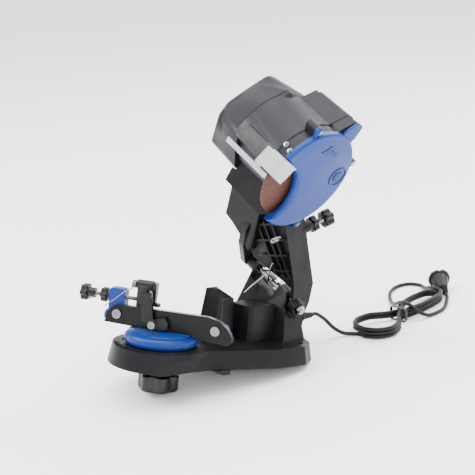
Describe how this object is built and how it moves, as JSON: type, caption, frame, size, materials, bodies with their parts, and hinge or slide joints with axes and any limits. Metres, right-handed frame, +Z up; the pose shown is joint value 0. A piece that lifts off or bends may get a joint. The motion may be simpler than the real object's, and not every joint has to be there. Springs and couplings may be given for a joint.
{
  "type": "bench chain grinder",
  "caption": "Bench grinder for saw chains: a motor head with a thin wheel swings down on a slanted axle over a swivelling chain vise; corded, tipped back on its lock knob.",
  "frame": {"origin": "middle of the machine's footprint box (cord left out) on the surface it stands on", "axes": "+Z up; +X towards the wheel's cover side; -Y towards the operator; the machine is tipped back 11.6 degrees about X"},
  "size_m": [0.3152, 0.6821, 0.4343],
  "materials": {
    "black_casting": "fine texture black paint",
    "black_plastic": "moulded satin",
    "blue_plastic": "moulded gloss",
    "blue_paint": "gloss paint",
    "bright_steel": "turned and zinc plated",
    "black_steel": "blackened plate",
    "abrasive": "vitrified grit",
    "clear": "clear sheet",
    "copper": "enamelled wire",
    "brass": "plated pin",
    "rubber": "moulded sheath"
  },
  "bodies": {
    "base": {"base_casting": "black_casting", "swivel_washer": "bright_steel", "pivot_axle": "bright_steel", "pivot_nut_near": "bright_steel", "pivot_nut_far": "bright_steel", "spring_collar": "bright_steel", "torsion_spring": "bright_steel", "cord_gland": "rubber", "cord_lead": "rubber", "cord_hank": "rubber", "cord_tie": "rubber", "cord_loop": "rubber", "cord_tail": "rubber", "plug_body": "rubber", "plug_pin_left": "brass", "plug_pin_right": "brass"},
    "vise": {"turntable": "blue_paint", "vise_carrier": "blue_paint", "rail_near": "black_steel", "rail_far": "black_steel", "rail_screw_left": "bright_steel", "rail_screw_right": "bright_steel", "clamp_screw": "bright_steel", "stop_block": "blue_paint", "swivel_bolt": "bright_steel"},
    "swivel_lock": {"swivel_lock_knob": "black_plastic"},
    "clamp": {"clamp_lever": "black_plastic"},
    "stop": {"stop_bracket": "black_plastic", "pawl_spring": "bright_steel"},
    "pawl": {"stop_pawl": "black_plastic"},
    "adjuster": {"adjuster_screw": "black_plastic"},
    "adjuster_lock": {"adjuster_lock_knob": "black_plastic"},
    "head": {"arm": "black_casting", "housing_near": "black_plastic", "housing_far": "black_plastic", "motor_tube": "black_plastic", "stator": "copper", "bearing_near": "bright_steel", "bearing_far": "bright_steel", "far_bearing_plate": "black_plastic", "cover": "blue_plastic", "cover_screw_1": "bright_steel", "cover_screw_2": "bright_steel", "cover_screw_3": "bright_steel", "visor_rail": "clear", "visor_shield": "clear", "switch_frame": "black_plastic"},
    "spindle": {"rotor": "bright_steel", "fan": "black_plastic", "flange_inner": "bright_steel", "grinding_wheel": "abrasive", "flange_outer": "bright_steel", "wheel_nut": "bright_steel"},
    "depth_stop": {"depth_screw": "bright_steel"},
    "depth_lock": {"depth_lock_knob": "black_plastic"},
    "switch": {"switch_rocker": "blue_plastic"}
  },
  "joints": [
    {"name": "vise_swivel", "type": "hinge", "parent": "base", "child": "vise", "pos_m": [-0.02931, -0.10329, 0.07185], "axis": [0, 0.2005, 0.9797], "range_deg": [-60, 10]},
    {"name": "swivel_lock_turn", "type": "hinge", "parent": "vise", "child": "swivel_lock", "pos_m": [-0.02931, -0.11673, 0.00621], "axis": [0, 0.2005, 0.9797], "range_deg": [-180, 180]},
    {"name": "clamp_swing", "type": "hinge", "parent": "vise", "child": "clamp", "pos_m": [-0.03373, -0.11149, 0.10262], "axis": [-0.4226, 0.8879, -0.1817], "range_deg": [-32, 0]},
    {"name": "adjuster_turn", "type": "hinge", "parent": "vise", "child": "adjuster", "pos_m": [-0.14689, -0.13673, 0.1379], "axis": [0.9063, 0.414, -0.0847], "range_deg": [-1440, 2880]},
    {"name": "stop_slide", "type": "slide", "parent": "vise", "child": "stop", "axis": [0.9063, 0.414, -0.0847], "range_m": [-0.004, 0.008]},
    {"name": "adjuster_lock_turn", "type": "hinge", "parent": "vise", "child": "adjuster_lock", "pos_m": [-0.11879, -0.1239, 0.13527], "axis": [0.9063, 0.414, -0.0847], "range_deg": [-180, 180]},
    {"name": "pawl_lift", "type": "hinge", "parent": "stop", "child": "pawl", "pos_m": [-0.0481, -0.08719, 0.15021], "axis": [0.9063, 0.414, -0.0847], "range_deg": [0, 75], "stiffness_Nm_per_rad": 0.01, "springref_deg": -28.65, "deforming": ["pawl_spring"]},
    {"name": "head_swing", "type": "hinge", "parent": "base", "child": "head", "pos_m": [0.00533, 0.10453, 0.11475], "axis": [0.866, -0.1003, -0.4898], "range_deg": [0, 60], "stiffness_Nm_per_rad": 9, "springref_deg": -34.38, "deforming": ["torsion_spring"]},
    {"name": "wheel_spin", "type": "hinge", "parent": "head", "child": "spindle", "pos_m": [0.09719, 0.07641, 0.29904], "axis": [0.866, -0.1003, -0.4898], "continuous": true},
    {"name": "depth_screw_turn", "type": "hinge", "parent": "head", "child": "depth_stop", "pos_m": [0.0426, 0.06635, 0.19254], "axis": [-0.1824, -0.9755, -0.1229], "range_deg": [-720, 720]},
    {"name": "depth_lock_turn", "type": "hinge", "parent": "head", "child": "depth_lock", "pos_m": [0.05719, 0.14439, 0.20237], "axis": [-0.1824, -0.9755, -0.1229], "range_deg": [-180, 180]},
    {"name": "switch_rock", "type": "hinge", "parent": "head", "child": "switch", "pos_m": [0.08589, 0.13564, 0.36901], "axis": [0.866, -0.1003, -0.4898], "range_deg": [-8, 8]}
  ],
  "couplings": [
    {"joint": "adjuster_turn", "follows": "stop_slide", "rad_per_m": 6283.2}
  ]
}
